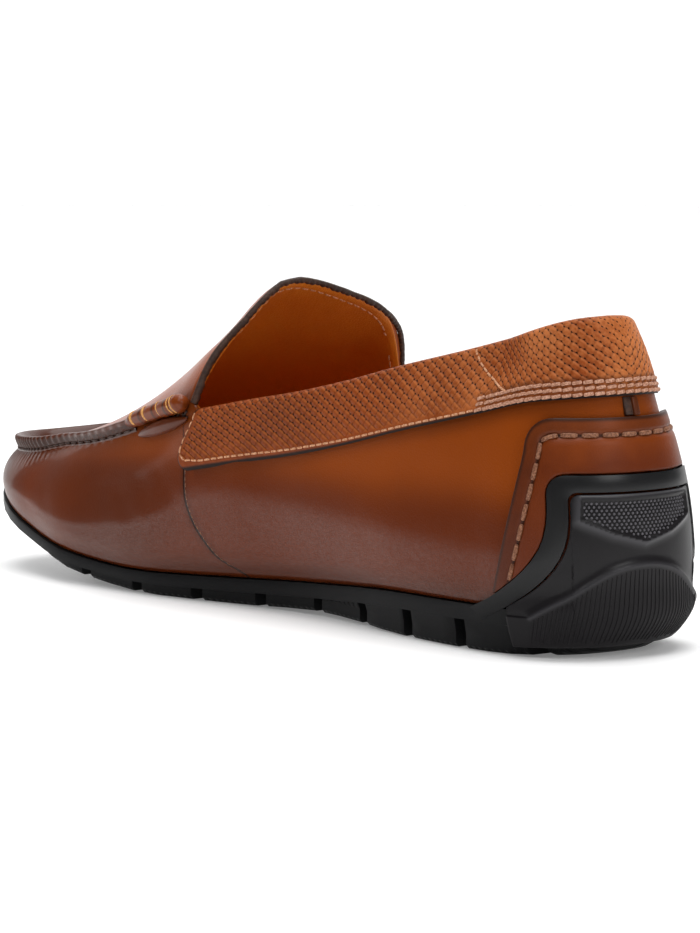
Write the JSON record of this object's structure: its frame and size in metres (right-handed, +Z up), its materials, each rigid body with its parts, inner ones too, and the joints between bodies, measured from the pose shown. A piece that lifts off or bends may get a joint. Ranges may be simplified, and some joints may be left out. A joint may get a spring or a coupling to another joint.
{
  "type": "driving moccasin",
  "caption": "Slip-on leather driving moccasin for a right foot, with a gathered apron seam, textured collar band and segmented rubber sole that climbs the heel.",
  "frame": {"origin": "middle of the whole shoe's bounding box, on the floor that the sole stands on", "axes": "+X from heel to toe, +Y to the inner side of the foot, +Z up"},
  "size_m": [0.2888, 0.096, 0.0934],
  "materials": {
    "upper_leather": "burnished smooth leather",
    "band_leather": "embossed woven-look leather",
    "trim_leather": "dark burnished leather",
    "insole_leather": "soft tan lining leather",
    "sole_rubber": "matte charcoal rubber",
    "pad_rubber": "matte charcoal rubber, ribbed"
  },
  "bodies": {
    "root": {"upper": "upper_leather", "collar_band": "band_leather", "heel_counter": "upper_leather", "heel_tab": "trim_leather", "moc_seam": "trim_leather", "seam_roll_inner": "trim_leather", "seam_roll_outer": "trim_leather", "insole": "insole_leather", "outsole": "sole_rubber", "heel_pad": "pad_rubber"}
  },
  "joints": []
}
